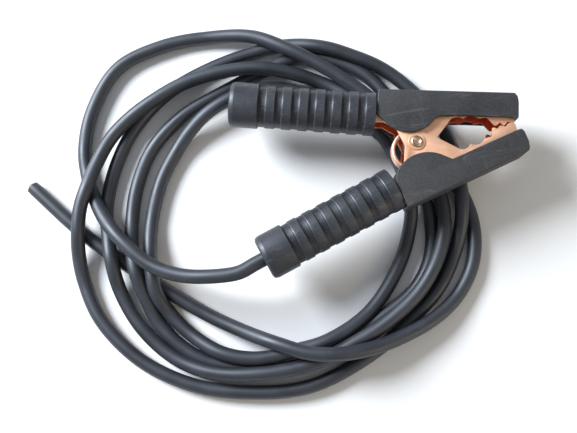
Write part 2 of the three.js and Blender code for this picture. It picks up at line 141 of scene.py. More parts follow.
# Sides of the jaw covers: round belly over the pivot, blunt front and straight outer edge.
UPPER_COVER = [
    (-18.2, 43.7), (-23.9, 26.6), (-20.1, 21.2, 26), (17.4, 14.1, 23), (20.3, 14.7), (41.3, 10.1),
    (71.4, 2.4), (72.6, -0.2), (75.3, 1.4), (78.3, 12.4), (78.7, 17), (77.3, 20),
]
LOWER_COVER = [
    (-16.6, 45.4), (-21.6, 27), (-19.4, 19.3, 26), (16.2, 14.2, 25), (21.8, 18.1), (72.8, 7),
    (75.3, 6.8), (76.8, 9.3), (78, 16.5), (77.5, 21.6), (76.4, 23.6),
]

# side: 1 above the middle line, -1 below it. half: half width over the walls.
# grip_end: the middle of the grip's end face, y outwards.
# mouth: how far inside the grip's axis the handle's sides reach where they leave the grip.
# front: where the sleeve ends, pushed up to its jaw cover.
UPPER = {
    "name": "upper", "body": "upper_body", "side": 1, "half": UPPER_HALF,
    "grip_end": (-126, 59.2), "mouth": 8, "front": 107.05,
    "jaw": UPPER_JAW, "rear": UPPER_REAR, "cover": UPPER_COVER,
}
LOWER = {
    "name": "lower", "body": "lower_body", "side": -1, "half": LOWER_HALF,
    "grip_end": (-124.9, 58.9), "mouth": 1.5, "front": 107.5,
    "jaw": LOWER_JAW, "rear": LOWER_REAR, "cover": LOWER_COVER,
}

# Route of the cable's middle once it is clear of the grip: x, y, and its height above the floor
# where it doesn't lie on it, in metres.
CABLE_ROUTE = [
    # down from the grip over the left side, round the back and under the clamp
    (-0.1405, -0.0625, 0.035), (-0.1615, -0.0565, 0.031), (-0.181, -0.0445, 0.028),
    (-0.199, -0.022, 0.026), (-0.209, -0.004, 0.021), (-0.216, 0.015, 0.012),
    (-0.22, 0.035, 0.006), (-0.219, 0.057), (-0.208, 0.087), (-0.182, 0.1175), (-0.145, 0.128),
    (-0.108, 0.1275), (-0.073, 0.118, 0.0125), (-0.05, 0.102, 0.017), (-0.031, 0.087, 0.017),
    (-0.013, 0.07, 0.016), (0.006, 0.049, 0.0145), (0.026, 0.018, 0.0125),
    (0.038, -0.014, 0.0125), (0.041, -0.0485, 0.0133), (0.0305, -0.0775, 0.015),
    (0.0105, -0.102, 0.016), (-0.019, -0.1205, 0.0163), (-0.048, -0.131, 0.0163),
    (-0.082, -0.139, 0.016), (-0.118, -0.138, 0.0155), (-0.153, -0.13, 0.011),
    (-0.178, -0.115, 0.006), (-0.199, -0.088), (-0.21, -0.057, 0.008), (-0.211, -0.032, 0.016),
    (-0.211, -0.012, 0.011), (-0.21, 0.008), (-0.198, 0.038), (-0.177, 0.067), (-0.147, 0.089),
    (-0.113, 0.101),
    # second turn, the outermost at the front
    (-0.078, 0.107), (-0.05, 0.107, 0.008), (-0.022, 0.098, 0.0135), (0, 0.0865, 0.012),
    (0.0225, 0.0715, 0.008), (0.0435, 0.046), (0.0575, 0.0145), (0.0595, -0.005, 0.011),
    (0.058, -0.027, 0.016), (0.055, -0.047, 0.0155), (0.051, -0.063, 0.011),
    (0.044, -0.079, 0.006), (0.027, -0.102), (-0.004, -0.125), (-0.0395, -0.143),
    (-0.085, -0.155), (-0.13, -0.15), (-0.17, -0.136), (-0.205, -0.11), (-0.2285, -0.075),
    (-0.236, -0.045), (-0.236, -0.025, 0.0095), (-0.232, -0.007, 0.016),
    # third turn
    (-0.227, 0.01, 0.018), (-0.219, 0.025, 0.019), (-0.21, 0.041, 0.016), (-0.197, 0.059, 0.013),
    (-0.181, 0.071, 0.014), (-0.16, 0.081, 0.016), (-0.13, 0.091, 0.016), (-0.091, 0.093, 0.016),
    (-0.068, 0.089, 0.016), (-0.049, 0.082, 0.013), (-0.03, 0.073, 0.0075),
    (-0.012, 0.058, 0.0085), (0, 0.038, 0.0155), (0.01, 0.014, 0.016), (0.017, -0.012, 0.016),
    (0.0185, -0.0385, 0.01), (0.013, -0.058), (-0.002, -0.0835), (-0.0305, -0.111, 0.008),
    (-0.0655, -0.125, 0.0145), (-0.09, -0.127, 0.014), (-0.118, -0.127, 0.014),
    (-0.143, -0.118, 0.0125), (-0.164, -0.0995, 0.0065), (-0.1765, -0.081, 0.0065),
    (-0.183, -0.064, 0.014), (-0.183, -0.047, 0.016), (-0.182, -0.03, 0.01), (-0.178, -0.01),
    (-0.165, 0.02),
    # fourth turn, the innermost
    (-0.149, 0.041, 0.006), (-0.135, 0.054, 0.0095), (-0.117, 0.065, 0.014),
    (-0.092, 0.073, 0.0145), (-0.065, 0.074, 0.0095), (-0.038, 0.064), (-0.01, 0.043),
    (0.014, 0.014), (0.027, -0.014), (0.0315, -0.048), (0.0245, -0.0795), (0.007, -0.1015),
    (-0.028, -0.119), (-0.085, -0.136), (-0.125, -0.133), (-0.162, -0.117), (-0.1855, -0.0885),
    (-0.192, -0.065, 0.0105), (-0.195, -0.044, 0.016), (-0.195, -0.027, 0.012),
    (-0.193, -0.008, 0.006), (-0.184, 0.02),
    # fifth turn, out to the cut end
    (-0.167, 0.047), (-0.139, 0.068), (-0.106, 0.08), (-0.068, 0.091), (-0.041, 0.096),
    (-0.017, 0.089), (0.01, 0.0685), (0.034, 0.019), (0.056, -0.026), (0.062, -0.06),
    (0.055, -0.09), (0.038, -0.112, 0.006), (0.014, -0.126, 0.011), (-0.014, -0.134, 0.016),
    (-0.038, -0.137, 0.022), (-0.059, -0.136, 0.0255), (-0.08, -0.131, 0.026),
    (-0.101, -0.12, 0.022), (-0.124, -0.106, 0.0115), (-0.15, -0.087), (-0.191, -0.049),
    (-0.2285, -0.01), (-0.2635, 0.037),
]

# ---------------------------------------------------------------- camera

CAMERA_AT = (-0.0846, -0.1168, 0.532)
CAMERA_TURN = (9.04, 0.87, -11.98)  # degrees about X, Y and Z
LENS = 46.5
SENSOR_WIDTH = 36


def add_camera():
    """The camera at the photograph's angle."""
    data = bpy.data.cameras.new("camera")
    data.lens = LENS
    data.sensor_width = SENSOR_WIDTH
    camera = bpy.data.objects.new("camera", data)
    camera.location = CAMERA_AT
    camera.rotation_euler = [math.radians(angle) for angle in CAMERA_TURN]
    bpy.context.scene.collection.objects.link(camera)
    bpy.context.scene.camera = camera


# ---------------------------------------------------------------- building materials


MIX_A, MIX_B, MIX_RESULT = 6, 7, 2  # the Mix node's sockets for colours
COLD = (0.88, 0.93, 1.0, 1)  # the sheen of black rubber is a little blue


class Look:
    """A material being put together from nodes. Sizes of its patterns are in millimetres."""

    def __init__(self, name, roughness, metallic=0.0):
        self.material = bpy.data.materials.new(name)
        self.material.use_nodes = True
        self.nodes = self.material.node_tree.nodes
        self.links = self.material.node_tree.links
        self.shader = self.nodes["Principled BSDF"]
        self.shader.inputs["Roughness"].default_value = roughness
        self.shader.inputs["Metallic"].default_value = metallic
        self.place = self.nodes.new("ShaderNodeTexCoord").outputs["Object"]

    def stretched(self, scale):
        """The place, squeezed or stretched along each axis."""
        node = self.nodes.new("ShaderNodeMapping")
        node.inputs["Scale"].default_value = scale
        self.links.new(self.place, node.inputs["Vector"])
        return node.outputs["Vector"]

    def noise(self, size, detail=3.0, place=None, distortion=0.0):
        node = self.nodes.new("ShaderNodeTexNoise")
        node.inputs["Scale"].default_value = 1 / (size * MM)
        node.inputs["Detail"].default_value = detail
        node.inputs["Distortion"].default_value = distortion
        self.links.new(place or self.place, node.inputs["Vector"])
        return node.outputs["Fac"]

    def ramp(self, factor, stops):
        """A colour for each stop (position, colour)."""
        node = self.nodes.new("ShaderNodeValToRGB")
        elements = node.color_ramp.elements
        while len(elements) < len(stops):
            elements.new(0.5)
        for element, (position, colour) in zip(elements, stops):
            element.position = position
            element.color = (*colour, 1)
        self.links.new(factor, node.inputs["Fac"])
        return node.outputs["Color"]

    def spread(self, factor, low, high, to_low=0.0, to_high=1.0):
        """A value rescaled from low..high to to_low..to_high, held at the ends."""
        node = self.nodes.new("ShaderNodeMapRange")
        ends = {"From Min": low, "From Max": high, "To Min": to_low, "To Max": to_high}
        for socket, value in ends.items():
            node.inputs[socket].default_value = value
        self.links.new(factor, node.inputs["Value"])
        return node.outputs["Result"]

    def laid_over(self, body, colour, pattern, low, high, share):
        """The body's colour with another over it as a pattern rises from low to high.

        At high and above, the share is how much of the other colour shows.
        """
        factor = self.spread(pattern, low, high, 0, share)
        node = self.nodes.new("ShaderNodeMix")
        node.data_type = "RGBA"
        self.links.new(factor, node.inputs["Factor"])
        self.links.new(body, node.inputs[MIX_A])
        node.inputs[MIX_B].default_value = (*colour, 1)
        return node.outputs[MIX_RESULT]

    def sum(self, a, b, share):
        """a plus share times b."""
        node = self.nodes.new("ShaderNodeMath")
        node.operation = "MULTIPLY_ADD"
        self.links.new(b, node.inputs[0])
        node.inputs[1].default_value = share
        self.links.new(a, node.inputs[2])
        return node.outputs["Value"]

    def scratches(self, size, turn, level=0.62, width=0.012):
        """1 on thin, nearly straight lines that run at that angle in degrees, 0 elsewhere.

        They are where a drawn-out noise passes through one level.
        """
        node = self.nodes.new("ShaderNodeMapping")
        node.inputs["Rotation"].default_value[2] = math.radians(turn)
        node.inputs["Scale"].default_value = (0.06, 1, 0.3)
        self.links.new(self.place, node.inputs["Vector"])
        lines = self.noise(size, detail=1, place=node.outputs["Vector"])
        return self.spread(self.away_from(lines, level), width, 0)

    def away_from(self, value, centre):
        """How far a value is from a centre, either way."""
        less = self.nodes.new("ShaderNodeMath")
        less.operation = "SUBTRACT"
        self.links.new(value, less.inputs[0])
        less.inputs[1].default_value = centre
        size = self.nodes.new("ShaderNodeMath")
        size.operation = "ABSOLUTE"
        self.links.new(less.outputs["Value"], size.inputs[0])
        return size.outputs["Value"]

    def edges(self, sharp=0.56, blunt=0.50):
        """1 on edges that stand out, 0 on flat and hollow stretches."""
        geometry = self.nodes.new("ShaderNodeNewGeometry")
        return self.spread(geometry.outputs["Pointiness"], blunt, sharp)

    def hollows(self, flat=0.495, deep=0.47):
        """1 in grooves and inner corners, 0 elsewhere."""
        geometry = self.nodes.new("ShaderNodeNewGeometry")
        return self.spread(geometry.outputs["Pointiness"], flat, deep)

    def bump(self, height, depth, strength):
        node = self.nodes.new("ShaderNodeBump")
        node.inputs["Distance"].default_value = depth * MM
        node.inputs["Strength"].default_value = strength
        self.links.new(height, node.inputs["Height"])
        self.links.new(node.outputs["Normal"], self.shader.inputs["Normal"])

    def colour(self, socket):
        self.links.new(socket, self.shader.inputs["Base Color"])

    def roughness(self, socket):
        self.links.new(socket, self.shader.inputs["Roughness"])

    def set(self, name, value):
        self.shader.inputs[name].default_value = value


def copper_plate():
    """Copper-plated steel: rolled grain and faint clouds of tarnish."""
    look = Look("copper_plate", 0.34, metallic=0.75)
    clouds = look.noise(9, detail=4, distortion=0.6)
    grain = look.noise(0.5, detail=2, place=look.stretched((0.12, 1, 1)))
    look.colour(look.ramp(clouds, [(0.3, (0.93, 0.52, 0.33)), (0.7, (1.0, 0.62, 0.42))]))
    look.roughness(look.spread(look.sum(clouds, grain, 0.5), 0.5, 1.1, 0.46, 0.6))
    look.bump(grain, 0.02, 0.5)
    return look.material


def copper_inside_painted_shade():
    """The same plating in the hollow of a channel, duller, and a darker red as painted shade."""
    look = Look("copper_inside_painted_shade", 0.45, metallic=0.7)
    clouds = look.noise(7, detail=4, distortion=0.5)
    look.colour(look.ramp(clouds, [(0.3, (0.64, 0.09, 0.03)), (0.7, (0.84, 0.17, 0.06))]))
    look.roughness(look.spread(clouds, 0.3, 0.7, 0.38, 0.55))
    look.bump(look.noise(0.6, detail=2), 0.02, 0.5)
    return look.material


def spring_wire():
    """Plated wire, paler than the arms."""
    look = Look("spring_wire", 0.3, metallic=0.7)
    clouds = look.noise(4, detail=3)
    look.colour(look.ramp(clouds, [(0.35, (0.88, 0.52, 0.38)), (0.65, (0.97, 0.68, 0.54))]))
    look.roughness(look.spread(clouds, 0.3, 0.7, 0.34, 0.5))
    look.bump(look.noise(0.8, detail=2), 0.02, 0.4)
    return look.material


def black_moulding():
    """Hard black plastic: eroded texture, dusty patches, pale scuffs, fine scratches, painted edge
    highlights.
    """
    look = Look("black_moulding", 0.6)
    dust = look.noise(16, detail=5, distortion=0.4)
    body = look.ramp(dust, [(0.3, (0.020, 0.021, 0.023)), (0.7, (0.032, 0.033, 0.035))])
    grain = look.noise(1.1, detail=4)
    grained = look.laid_over(body, (0.10, 0.10, 0.105), grain, 0.45, 0.75, share=0.35)
    scuffs = look.noise(7, detail=6, place=look.stretched((1, 0.22, 1)), distortion=0.5)
    scuffed = look.laid_over(grained, (0.13, 0.13, 0.13), scuffs, 0.60, 0.76, share=0.4)
    scratches = look.scratches(5, 28)
    scored = look.laid_over(scuffed, (0.16, 0.16, 0.16), scratches, 0, 1, share=0.3)
    # standing edges made paler: a painted highlight
    look.colour(look.laid_over(scored, (0.14, 0.14, 0.145), look.edges(), 0, 1, share=0.3))
    look.roughness(look.spread(dust, 0.3, 0.7, 0.52, 0.68))
    fine = look.noise(0.35, detail=3)
    look.bump(look.sum(fine, look.noise(1.6, detail=2), 0.6), 0.12, 0.8)
    look.set("Specular IOR Level", 0.35)
    return look.material


def grip_rubber():
    """Satin moulded rubber with drag marks, painted highlights on the crests, painted shade in the
    grooves.
    """
    look = Look("grip_rubber", 0.5)
    bloom = look.noise(12, detail=5, distortion=0.5)
    body = look.ramp(bloom, [(0.3, (0.009, 0.010, 0.013)), (0.7, (0.018, 0.0195, 0.025))])
    # the crests of the ribs are made paler and bluish: a painted highlight
    crests = look.edges(0.54, 0.505)
    painted_crest_highlight = look.laid_over(body, (0.13, 0.135, 0.15), crests, 0, 1, share=0.5)
    grain = look.noise(1.3, detail=4)
    grained = look.laid_over(painted_crest_highlight, (0.07, 0.074, 0.09), grain, 0.45, 0.75, share=0.45)
    marks = look.noise(3, detail=6, place=look.stretched((0.3, 1, 1)))
    marked = look.laid_over(grained, (0.12, 0.12, 0.135), marks, 0.60, 0.74, share=0.4)
    # grooves and inner corners darkened nearly to black: painted shade
    look.colour(look.laid_over(marked, (0.006, 0.006, 0.005), look.hollows(), 0, 1, share=0.8))
    look.roughness(look.spread(bloom, 0.3, 0.7, 0.36, 0.52))
    look.bump(look.sum(look.noise(0.6, detail=3), look.noise(2.5, detail=2), 0.8), 0.1, 0.7)
    look.set("Specular IOR Level", 0.65)
    look.set("Specular Tint", COLD)
    return look.material


def cable_jacket():
    """Flexible sheath: satin black with faint specks of dust and a slight ripple."""
    look = Look("cable_jacket", 0.45)
    dust = look.noise(22, detail=5, distortion=0.3)
    body = look.ramp(dust, [(0.3, (0.012, 0.0135, 0.019)), (0.7, (0.023, 0.0255, 0.034))])
    specks = look.noise(2.2, detail=5)
    look.colour(look.laid_over(body, (0.10, 0.10, 0.10), specks, 0.66, 0.78, share=0.3))
    look.roughness(look.spread(dust, 0.3, 0.7, 0.45, 0.58))
    look.bump(look.sum(look.noise(0.5, detail=2), look.noise(5, detail=2), 1.0), 0.05, 0.4)
    look.set("Specular IOR Level", 1.0)
    look.set("Specular Tint", COLD)
    return look.material


def steel():
    """Plated steel with a warm tarnish."""
    look = Look("steel", 0.32, metallic=1.0)
    clouds = look.noise(2.5, detail=4)
    look.colour(look.ramp(clouds, [(0.3, (0.40, 0.31, 0.22)), (0.7, (0.62, 0.52, 0.42))]))
    look.roughness(look.spread(clouds, 0.3, 0.7, 0.34, 0.5))
    look.bump(look.noise(0.4, detail=2), 0.02, 0.4)
    return look.material


def bare_copper():
    """Fresh copper, pale where it is cut."""
    look = Look("bare_copper", 0.36, metallic=1.0)
    clouds = look.noise(1.5, detail=3)
    look.colour(look.ramp(clouds, [(0.3, (0.78, 0.48, 0.36)), (0.7, (0.96, 0.72, 0.58))]))
    look.roughness(look.spread(clouds, 0.3, 0.7, 0.28, 0.5))
    look.bump(look.noise(0.3, detail=2), 0.02, 0.4)
    return look.material


COPPER_PLATE = copper_plate()
COPPER_INSIDE_PAINTED_SHADE = copper_inside_painted_shade()
SPRING_WIRE = spring_wire()
BLACK_MOULDING = black_moulding()
GRIP_RUBBER = grip_rubber()
CABLE_JACKET = cable_jacket()
STEEL = steel()
BARE_COPPER = bare_copper()

# ---------------------------------------------------------------- building shapes


def arc_between(start, end, radius, step=6):
    """Points between two ends of an arc that turns left when the radius is positive."""
    start, end = Vector(start), Vector(end)
    chord = end - start
    to_centre = math.copysign(math.sqrt(radius**2 - chord.length_squared / 4), radius)
    centre = start + chord / 2 + Vector((-chord.y, chord.x)).normalized() * to_centre
    sweep = 2 * math.asin(chord.length / 2 / radius)
    steps = math.ceil(abs(sweep) / math.radians(step))
    turns = [Matrix.Rotation(sweep * k / steps, 2) for k in range(1, steps)]
    return [centre + turn @ (start - centre) for turn in turns]


def outline(corners, side):
    """A closed outline from corners (x, y) or (x, y, radius of the arc that leads there).

    Side -1 mirrors it in the middle line.
    """
    points = []
    for x, y, *radius in corners:
        corner = Vector((x, side * y))
        if radius:
            points += arc_between(points[-1], corner, side * radius[0])
        points.append(corner)
    return points


def round_edges(shape, radius, segments, angle, where=lambda edge: True):
    """Rounds the edges of a bmesh that are sharper than an angle and that the test picks."""
    least = math.radians(angle)
    sharp = [
        edge for edge in shape.edges
        if len(edge.link_faces) == 2 and edge.calc_face_angle(0) > least and where(edge)
    ]
    bmesh.ops.bevel(
        shape, geom=sharp, offset=radius, segments=segments, profile=0.5, affect="EDGES",
        clamp_overlap=True)


def prism(points, low, high):
    """A flat plate of that outline as a bmesh."""
    shape = bmesh.new()
    bottom = [shape.verts.new((p.x, p.y, low)) for p in points]
    top = [shape.verts.new((p.x, p.y, high)) for p in points]
    shape.faces.new(bottom)
    shape.faces.new(top)
    for k in range(len(points)):
        n = (k + 1) % len(points)
        shape.faces.new((bottom[k], bottom[n], top[n], top[k]))
    bmesh.ops.recalc_face_normals(shape, faces=shape.faces)
    return shape


def join(shapes):
    """One bmesh from several."""
    whole = bmesh.new()
    for shape in shapes:
        part = bpy.data.meshes.new("part")
        shape.to_mesh(part)
        shape.free()
        whole.from_mesh(part)
        bpy.data.meshes.remove(part)
    return whole


def cut(shape, tool):
    """A bmesh with another cut out of it."""
    body, cutter = bare_object(shape), bare_object(tool)
    modifier = body.modifiers.new("cut", "BOOLEAN")
    modifier.object = cutter
    modifier.solver = "EXACT"
    graph = bpy.context.evaluated_depsgraph_get()
    result = bpy.data.meshes.new_from_object(body.evaluated_get(graph))
    left = bmesh.new()
    left.from_mesh(result)
    for thing in (body, cutter):
        bpy.data.objects.remove(thing)
    bpy.data.meshes.remove(result)
    return left


def bare_object(shape):
    """An object with no look yet, from a bmesh."""
    mesh = bpy.data.meshes.new("shape")
    shape.to_mesh(mesh)
    shape.free()
    thing = bpy.data.objects.new("shape", mesh)
    bpy.context.scene.collection.objects.link(thing)
    return thing


def turned(profile, segments=64, closed=True):
    """A body turned about Y from a profile of (radius, y).

    A closed profile makes a ring. An open one starts and ends on the axis.
    """
    shape = bmesh.new()
    turns = [2 * math.pi * k / segments for k in range(segments)]
    rings = []
    for radius, y in profile:
        around = turns if radius > 0 else turns[:1]
        places = [(radius * math.cos(t), y, radius * math.sin(t)) for t in around]
        rings.append([shape.verts.new(place) for place in places])
    pairs = list(zip(rings, rings[1:]))
    if closed and len(rings[0]) > 1:
        pairs.append((rings[-1], rings[0]))
    for a, b in pairs:
        for k in range(segments):
            n = (k + 1) % segments
            corners = [a[k % len(a)], a[n % len(a)], b[n % len(b)], b[k % len(b)]]
            shape.faces.new(list(dict.fromkeys(corners)))
    bmesh.ops.recalc_face_normals(shape, faces=shape.faces)
    return shape


def softened(profile, radius, steps=3):
    """A profile with all its corners but the two ends rounded off."""
    points = [Vector(p) for p in profile]
    soft = [points[0]]
    for before, corner, after in zip(points, points[1:], points[2:]):
        back, on = before - corner, after - corner
        reach = min(radius, back.length * 0.45, on.length * 0.45)
        start, end = corner + back.normalized() * reach, corner + on.normalized() * reach
        for k in range(steps + 1):
            t = k / steps
            soft.append(start * (1 - t) ** 2 + corner * 2 * t * (1 - t) + end * t**2)
    return soft + [points[-1]]


def frames_along(path):
    """Two directions square to the path at each point, carried along without twist."""
    tangents = [(b - a).normalized() for a, b in zip([path[0], *path], [*path[1:], path[-1]])]
    across = tangents[0].orthogonal().normalized()
    frames = []
    for tangent in tangents:
        across = (across - tangent * across.dot(tangent)).normalized()
        frames.append((across, tangent.cross(across)))
    return frames


def tube(path, stations, sides):
    """A tube along a path, closed at its ends. A station is (index on the path, radius)."""
    shape = bmesh.new()
    frames = frames_along(path)
    turns = [2 * math.pi * k / sides for k in range(sides)]
    rings = []
    for index, radius in stations:
        across, up = frames[index]
        reaches = [(across * math.cos(t) + up * math.sin(t)) * radius for t in turns]
        rings.append([shape.verts.new(path[index] + reach) for reach in reaches])
    for a, b in zip(rings, rings[1:]):
        for k in range(sides):
            n = (k + 1) % sides
            shape.faces.new((a[k], a[n], b[n], b[k]))
    shape.faces.new(rings[0])
    shape.faces.new(rings[-1])
    bmesh.ops.recalc_face_normals(shape, faces=shape.faces)
    return shape


def smooth_path(points, spacing):
    """Points about that far apart on the centripetal Catmull-Rom curve through the given ones."""
    ends = [points[0] * 2 - points[1], *points, points[-1] * 2 - points[-2]]
    path = []
    for a, b, c, d in zip(ends, ends[1:], ends[2:], ends[3:]):
        t1 = (b - a).length**0.5
        t2 = t1 + (c - b).length**0.5
        t3 = t2 + (d - c).length**0.5
        steps = max(1, round((c - b).length / spacing))
        for k in range(steps):
            t = t1 + (t2 - t1) * k / steps
            ab = a.lerp(b, t / t1)
            bc = b.lerp(c, (t - t1) / (t2 - t1))
            cd = c.lerp(d, (t - t2) / (t3 - t2))
            abc = ab.lerp(bc, t / t2)
            bcd = bc.lerp(cd, (t - t1) / (t3 - t1))
            path.append(abc.lerp(bcd, (t - t1) / (t2 - t1)))
    return [*path, points[-1].copy()]


def piece(name, shape, materials, body, replaces, place=CLAMP, scale=MM, crease=38):
    """A finished piece from a bmesh: in place, shaded, riding on a body in place of a CAD node.

    Edges sharper than the crease, in degrees, stay sharp.
    """
    bmesh.ops.transform(shape, matrix=Matrix.Scale(scale, 4) @ place, verts=shape.verts)
    mesh = bpy.data.meshes.new(name)
    shape.to_mesh(mesh)
    shape.free()
    for material in materials:
        mesh.materials.append(material)
    mesh.shade_smooth()
    mesh.set_sharp_from_angle(angle=math.radians(crease))
    thing = bpy.data.objects.new(name, mesh)
    bpy.context.scene.collection.objects.link(thing)
    if body:
        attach(thing, body)
    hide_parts(*replaces)
    return thing


def on_handle(arm, depth, out):
    """A point of a handle, y outwards: depth from the grip's end, and distance outside its axis."""
    x = arm["grip_end"][0] + depth * math.cos(SPREAD) + out * math.sin(SPREAD)
    y = arm["grip_end"][1] - depth * math.sin(SPREAD) + out * math.cos(SPREAD)
    return (x, y)


def handle_place(arm):
    """A handle's frame: origin in the middle of the grip's end face, +Y along it to the jaws."""
    x, y = arm["grip_end"]
    turn = Matrix.Rotation(-math.pi / 2 - arm["side"] * SPREAD, 4, "Z")
    return CLAMP @ Matrix.Translation((x, arm["side"] * y, 0)) @ turn


def under_back(arm, x, inset):
    """The point at that x on the line that runs so far inside a cover's straight outer edge."""
    (x0, y0), (x1, y1) = arm["cover"][0], arm["cover"][-1]
    slope = (y1 - y0) / (x1 - x0)
    return (x, y0 + slope * (x - x0) - inset * math.hypot(1, slope))


# ---------------------------------------------------------------- cable


def on_cable_axis(depth):
    """A place on the lower grip's axis, that many millimetres inside its end, in metres."""
    return Matrix.Scale(MM, 4) @ handle_place(LOWER) @ Vector((0, depth, 0))


def cable_path():
    """The cable's middle line, resting on the floor, from inside the lower grip to the cut end."""
    in_grip = [on_cable_axis(depth) for depth in (JACKET_DEPTH / MM, 4, -8, -20)]
    free = [Vector((x, y, FLOOR_Z + (lift or [LYING])[0])) for x, y, *lift in CABLE_ROUTE]
    path = smooth_path(in_grip + free, PATH_STEP)
    for point in path:
        point.z = max(point.z, FLOOR_Z + CABLE_DIAMETER / 2)
    return path


def add_cable():
    """The jacket, hollow at its cut end, and the strands of the conductor that show there."""
    path = cable_path()
    radius = CABLE_DIAMETER / 2
    last = len(path) - 1
    bore = CONDUCTOR_DIAMETER / 2 + 0.0002
    outside = [(0, bore), (0, radius - 0.0004), *((k, radius) for k in range(1, last))]
    into_the_bore = [(last, radius - 0.0003), (last, bore), (last - 2, bore)]
    jacket = piece(
        "cable_jacket", tube(path, outside + into_the_bore, 28), [CABLE_JACKET], "lower_body",
        ["cable"], place=Matrix(), scale=1)
    strands = cable_strands(path)


def cable_strands(path):
    """A round bundle of fine wires, cut a little unevenly, just proud of the jacket."""
    chance = random.Random(7)
    end = path[-1]
    along = (path[-1] - path[-2]).normalized()
    side, up = frames_along(path)[-1]
    wire = STRAND_RADIUS
    wires = []
    for ring in range(STRAND_RINGS):
        count = max(1, 6 * ring)
        for k in range(count):
            turn = 2 * math.pi * (k + 0.3 * ring) / count
            reach = ring * wire * 2 * 0.97 + chance.uniform(-1, 1) * wire * 0.15
            if reach + wire > CONDUCTOR_DIAMETER / 2:
                continue
            foot = end + (side * math.cos(turn) + up * math.sin(turn)) * reach
            length = chance.uniform(*STRAND_STICKS_OUT)
            line = [foot - along * STRAND_BURIED, foot, foot + along * length]
            wires.append(tube(line, [(0, wire), (1, wire), (2, wire)], 8))
    return piece(
        "cable_strands", join(wires), [BARE_COPPER], "lower_body",
        ["conductor_end"], place=Matrix(), scale=1)


# ---------------------------------------------------------------- arms


def web_line(arm, inset):
    """The arm's outer edge from the crimped end to the jaw tip, moved inwards by that much."""
    under = COVER_WALL + CLEAR + inset
    return [
        on_handle(arm, CRIMP_DEPTH, WEB_OUT - inset),
        on_handle(arm, GRIP_LENGTH, WEB_OUT - inset),
        under_back(arm, WEB_KNEE_X, under),
        under_back(arm, JAW_TIP_X, under),
    ]


def arm_wall(arm, face):
    """One side of a channel: a flat plate with its edges just broken, and the pivot's hole."""
    side, half = arm["side"], arm["half"]
    back = web_line(arm, BEND)
    corners = [
        on_handle(arm, CRIMP_DEPTH, -WEB_OUT), *back, *arm["jaw"], EAR_FRONT,
        (0, -EAR_RADIUS, -EAR_RADIUS), *arm["rear"],
        on_handle(arm, GRIP_LENGTH + 0.5, -arm["mouth"])]
    low, high = sorted((face * half, face * (half - SHEET)))
    plate = cut(prism(outline(corners, side), low, high), pivot_hole(low, high))
    ends = [Vector((x, side * y)) for x, y in back]

    def away_from_the_bend(edge):
        a, b = (v.co.xy for v in edge.verts)
        runs = zip(ends, ends[1:])
        return not any(on_line(a, *run) and on_line(b, *run) for run in runs)

    round_edges(plate, SHEET_EDGE, 2, angle=20, where=away_from_the_bend)
    for flat in plate.faces:
        # faces that look into the channel take the copper with painted shade
        flat.material_index = int(flat.normal.z * face < -0.5)
    return plate


def pivot_hole(low, high):
    """What is cut out of a wall between those heights for the rivet's shank."""
    radius = SHANK_RADIUS + RUNNING_FIT
    profile = [(0, low - 1), (radius, low - 1), (radius, high + 1), (0, high + 1)]
    hole = turned(profile, closed=False)
    bmesh.ops.transform(hole, matrix=Matrix.Rotation(math.pi / 2, 4, "X"), verts=hole.verts)
    return hole


def on_line(point, start, end):
    """Whether a point is on the straight line through two others."""
    along = (end - start).normalized()
    off = point - start
    return abs(off.cross(along)) < 0.01


def arm_web(arm):
    """The back of a channel: a strip whose long sides bend round into the walls."""
    outer, inner = (bend_section(arm["half"], radius) for radius in (BEND, BEND - SHEET))
    section = outer + [(-z, inset) for z, inset in reversed(outer)]
    section += [(-z, inset) for z, inset in inner] + list(reversed(inner))
    shape = bmesh.new()
    rows = []
    for z, inset in section:
        rows.append([shape.verts.new((x, arm["side"] * y, z)) for x, y in web_line(arm, inset)])
    inside = range(2 * len(outer), len(section) - 1)
    for index, (a, b) in enumerate(zip(rows, [*rows[1:], rows[0]])):
        for k in range(3):
            strip = shape.faces.new((a[k], a[k + 1], b[k + 1], b[k]))
            # the inner side of the bend takes the copper with painted shade
            strip.material_index = int(index in inside)
    shape.faces.new([row[0] for row in rows])
    shape.faces.new([row[-1] for row in rows])
    bmesh.ops.recalc_face_normals(shape, faces=shape.faces)
    return shape


def bend_section(half, radius, steps=5):
    """Where a web turns into a wall: (z, inset) along a quarter turn of that radius."""
    turns = [math.pi / 2 * k / steps for k in range(steps + 1)]
    return [(half - BEND + radius * math.cos(t), BEND - radius * math.sin(t)) for t in turns]


def add_arm(arm, extra=()):
    """A pressed channel, bright outside, with painted shade in its hollow."""
    shape = join([arm_wall(arm, 1), arm_wall(arm, -1), arm_web(arm), *extra])
    name = arm["name"] + "_arm"
    materials = [COPPER_PLATE, COPPER_INSIDE_PAINTED_SHADE]
    piece(name + "_plate", shape, materials, arm["body"], [name])


def crimp_collar():
    """The collar at the end of the lower arm, pressed round the cable, with a groove round it.

    Its half section lists (radius, depth from the grip's end).
    """
    inner, outer = CABLE_DIAMETER / MM / 2 + CLEAR, WEB_OUT
    end = [(inner, 19), (inner + 0.4, 18.8), (outer - 0.4, 18.8), (outer, 19.3)]
    groove = [(outer, 23), (outer - 0.5, 24.5), (outer, 26)]
    front = [(outer, 27.7), (outer - 0.4, 28), (inner, 28)]
    collar = turned(end + groove + front, 48)
    place = CLAMP.inverted() @ handle_place(LOWER)
    bmesh.ops.transform(collar, matrix=place, verts=collar.verts)
    return collar


# ---------------------------------------------------------------- jaw covers


